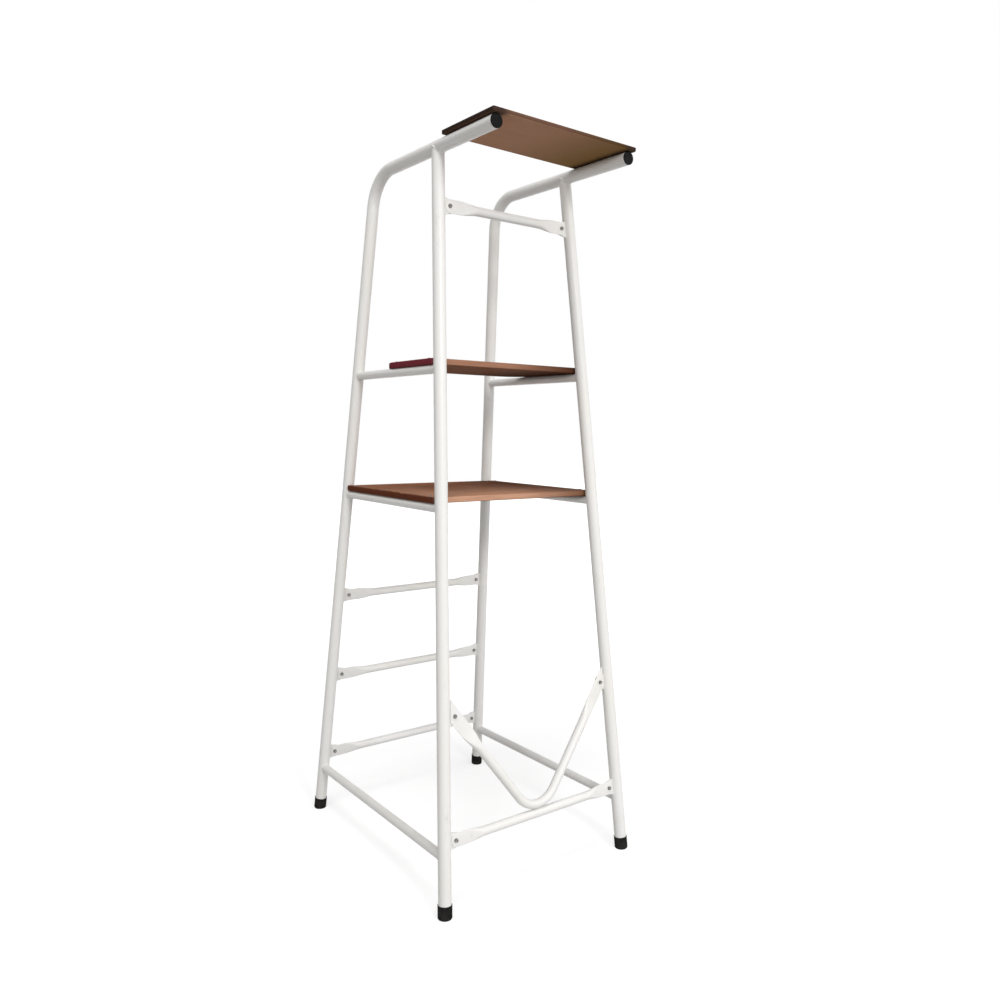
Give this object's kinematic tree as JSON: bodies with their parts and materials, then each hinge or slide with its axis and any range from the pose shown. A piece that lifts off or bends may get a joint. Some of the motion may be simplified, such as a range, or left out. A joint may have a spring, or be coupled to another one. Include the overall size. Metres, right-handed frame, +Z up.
{
  "type": "volleyball referee chair",
  "caption": "Tall knock-down steel tube stand with rungs at the rear, a platform, a seat board and a top board on forward arms, on rubber feet.",
  "frame": {"origin": "on the floor, at the centre of the stand's overall width and depth", "axes": "+Z up; -Y towards the front, where the arms and the top board reach out; +Y towards the rungs; +X to the right seen from the front"},
  "size_m": [0.7306, 0.926, 2.2062],
  "materials": {
    "white_paint": "glossy white stove enamel",
    "platform_board": "brown varnished board with dark edges",
    "seat_board": "brown varnished board with dark edges",
    "top_board": "brown varnished board",
    "foot_rubber": "matt black moulded rubber",
    "plug_plastic": "black moulded plastic",
    "bolt_steel": "dull zinc plate",
    "screw_steel": "dull zinc plate"
  },
  "bodies": {
    "root": {"rear_leg_left": "white_paint", "rear_leg_right": "white_paint", "front_leg_left": "white_paint", "front_leg_right": "white_paint", "base_rail_left": "white_paint", "base_rail_right": "white_paint", "platform_rail_left": "white_paint", "platform_rail_right": "white_paint", "seat_rail_left": "white_paint", "seat_rail_right": "white_paint", "tabs_front_left": "white_paint", "tabs_front_right": "white_paint", "tabs_rear_left": "white_paint", "tabs_rear_right": "white_paint", "lower_bar": "white_paint", "upper_bar": "white_paint", "v_brace": "white_paint", "rung_low": "white_paint", "rung_middle": "white_paint", "rung_high": "white_paint", "platform": "platform_board", "seat_board": "seat_board", "top_board": "top_board", "foot_front_left": "foot_rubber", "foot_front_right": "foot_rubber", "foot_rear_left": "foot_rubber", "foot_rear_right": "foot_rubber", "arm_plug_left": "plug_plastic", "arm_plug_right": "plug_plastic", "bolts": "bolt_steel", "nuts": "bolt_steel", "washers": "bolt_steel", "board_screws": "screw_steel"}
  },
  "joints": []
}
